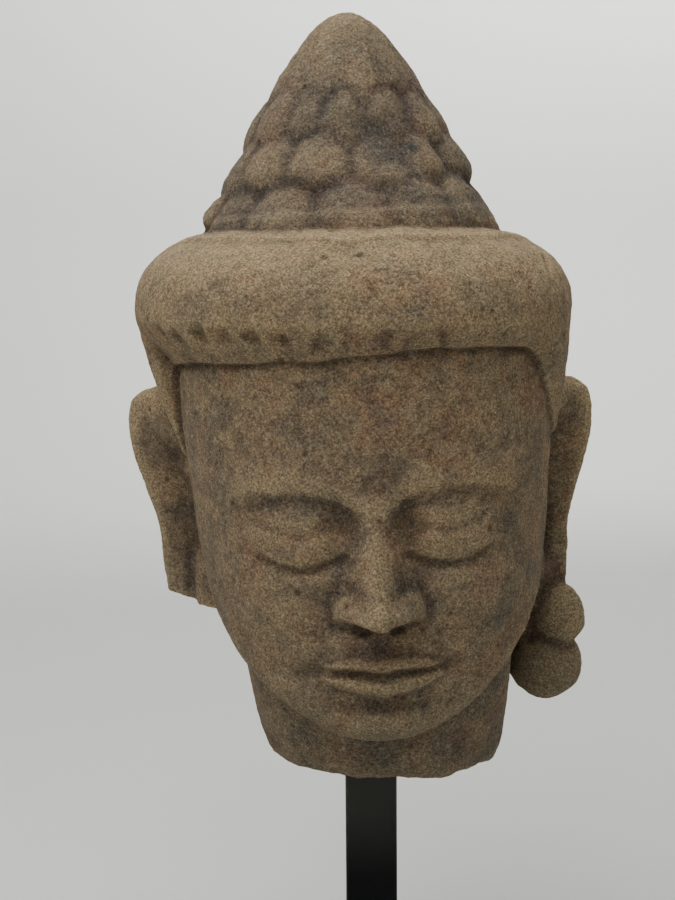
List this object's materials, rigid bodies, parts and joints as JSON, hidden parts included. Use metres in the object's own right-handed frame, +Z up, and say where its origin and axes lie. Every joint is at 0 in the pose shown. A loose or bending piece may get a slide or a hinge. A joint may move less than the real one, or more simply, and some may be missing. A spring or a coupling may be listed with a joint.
{
  "type": "carved sandstone head on a post stand",
  "caption": "Weathered sandstone temple figure's head with a tall curled topknot, long ears and a broken neck, held up on a square steel post with a plate foot.",
  "frame": {"origin": "centre of the foot's underside, under the middle of the post", "axes": "+Z up along the post; the face looks along -Y; +X is on the viewer's right"},
  "size_m": [0.2317, 0.2249, 0.4997],
  "materials": {
    "sandstone": "matte",
    "black_steel": "satin"
  },
  "bodies": {
    "root": {"sandstone_head": "sandstone", "stand_post": "black_steel", "stand_foot": "black_steel"}
  },
  "joints": []
}
